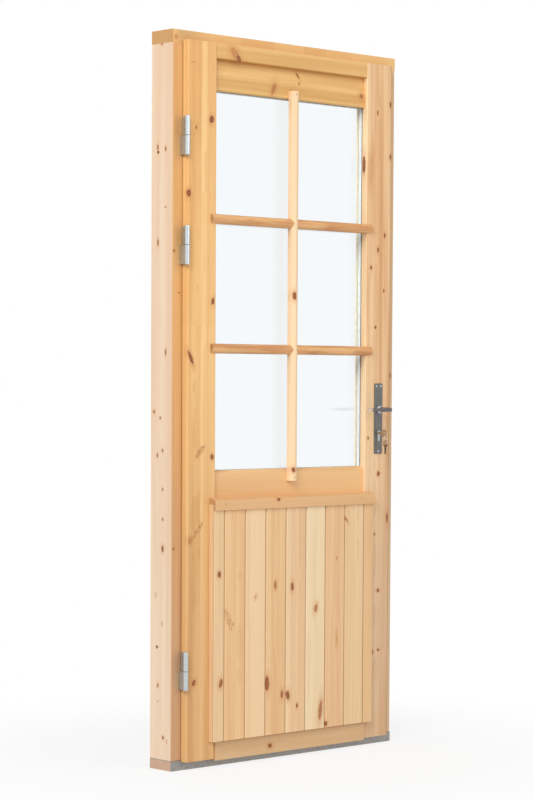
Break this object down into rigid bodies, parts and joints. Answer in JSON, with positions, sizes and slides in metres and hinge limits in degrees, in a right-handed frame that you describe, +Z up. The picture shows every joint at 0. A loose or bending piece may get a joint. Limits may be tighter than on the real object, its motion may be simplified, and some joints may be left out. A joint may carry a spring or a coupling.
{
  "type": "glazed door",
  "caption": "Pine entrance door in its frame: barred sealed glazing over a boarded panel, lift-off hinges, lever lock with keys and a metal-covered threshold.",
  "frame": {"origin": "middle of the threshold's underside", "axes": "+X to the right for someone outside who faces the door, +Y from outside to inside, +Z up"},
  "size_m": [0.89, 0.169, 2.09],
  "materials": {
    "frame_pine": "clear-finished pine",
    "leaf_pine": "clear-finished laminated pine",
    "board_pine": "clear-finished knotty pine",
    "panel_plywood": "clear-finished pine plywood",
    "sill_wood": "planed hardwood",
    "sill_metal": "weathered mill finish",
    "seal_rubber": "matt black",
    "hinge_steel": "zinc plated",
    "screw_steel": "zinc plated",
    "plate_steel": "dark satin",
    "lever_steel": "satin",
    "lock_steel": "zinc plated",
    "cylinder_metal": "nickel plated",
    "key_brass": "worn brass",
    "ring_steel": "bright wire",
    "window_glass": "clear float glass",
    "spacer_metal": "mill finish"
  },
  "bodies": {
    "frame": {"frame_left_jamb": "frame_pine", "frame_right_jamb": "frame_pine", "frame_head": "frame_pine", "threshold_core": "sill_wood", "threshold_cover": "sill_metal", "seal_left": "seal_rubber", "seal_right": "seal_rubber", "seal_head": "seal_rubber", "strike_plate": "lock_steel", "strike_screws": "screw_steel", "hinge_bottom_frame_half": "hinge_steel", "hinge_middle_frame_half": "hinge_steel", "hinge_top_frame_half": "hinge_steel", "hinge_pins": "hinge_steel", "hinge_washers": "hinge_steel", "hinge_frame_screws": "screw_steel"},
    "leaf": {"hinge_stile": "leaf_pine", "lock_stile": "leaf_pine", "top_rail": "leaf_pine", "mid_rail": "leaf_pine", "bottom_rail": "leaf_pine", "glass_outer_pane": "window_glass", "glass_inner_pane": "window_glass", "glass_spacer": "spacer_metal", "glazing_beads": "leaf_pine", "bar_vertical": "leaf_pine", "bar_upper": "leaf_pine", "bar_lower": "leaf_pine", "panel_board_1": "board_pine", "panel_board_2": "board_pine", "panel_board_3": "board_pine", "panel_board_4": "board_pine", "panel_board_5": "board_pine", "panel_board_6": "board_pine", "panel_board_7": "board_pine", "panel_board_8": "board_pine", "panel_board_9": "board_pine", "drip_cap": "leaf_pine", "inner_panel": "panel_plywood", "panel_beads": "leaf_pine", "bottom_seal": "seal_rubber", "lock_case": "lock_steel", "forend_screws": "screw_steel", "outside_plate": "plate_steel", "inside_plate": "plate_steel", "plate_screws": "screw_steel", "cylinder_body": "cylinder_metal", "hinge_bottom_leaf_half": "hinge_steel", "hinge_middle_leaf_half": "hinge_steel", "hinge_top_leaf_half": "hinge_steel", "hinge_leaf_screws": "screw_steel"},
    "lever_set": {"outside_lever": "lever_steel", "inside_knob": "lever_steel", "spindle": "lever_steel"},
    "latch": {"latch_bolt": "lock_steel"},
    "bolt": {"deadbolt": "lock_steel"},
    "key_set": {"cylinder_plug": "cylinder_metal", "key": "key_brass"},
    "key_bunch": {"key_ring": "ring_steel", "spare_key": "key_brass"}
  },
  "joints": [
    {"name": "leaf_swing", "type": "hinge", "parent": "frame", "child": "leaf", "pos_m": [-0.4169, -0.076, 1], "axis": [0, 0, -1], "range_deg": [0, 170]},
    {"name": "lever_turn", "type": "hinge", "parent": "leaf", "child": "lever_set", "pos_m": [0.357, -0.0435, 1.023], "axis": [0, -1, 0], "range_deg": [0, 40], "stiffness_Nm_per_rad": 1.2, "springref_deg": -20.05},
    {"name": "latch_slide", "type": "slide", "parent": "leaf", "child": "latch", "axis": [-1, 0, 0], "range_m": [0, 0.012]},
    {"name": "key_turn", "type": "hinge", "parent": "leaf", "child": "key_set", "pos_m": [0.357, -0.0435, 0.951], "axis": [0, -1, 0], "range_deg": [0, 360]},
    {"name": "bolt_slide", "type": "slide", "parent": "leaf", "child": "bolt", "axis": [1, 0, 0], "range_m": [0, 0.02]},
    {"name": "ring_swing", "type": "hinge", "parent": "key_set", "child": "key_bunch", "pos_m": [0.357, -0.104, 0.944], "axis": [-1, 0, 0], "range_deg": [-20, 70]}
  ],
  "couplings": [
    {"joint": "latch_slide", "follows": "lever_turn", "m_per_rad": 0.01718},
    {"joint": "bolt_slide", "follows": "key_turn", "m_per_rad": 0.00318}
  ]
}
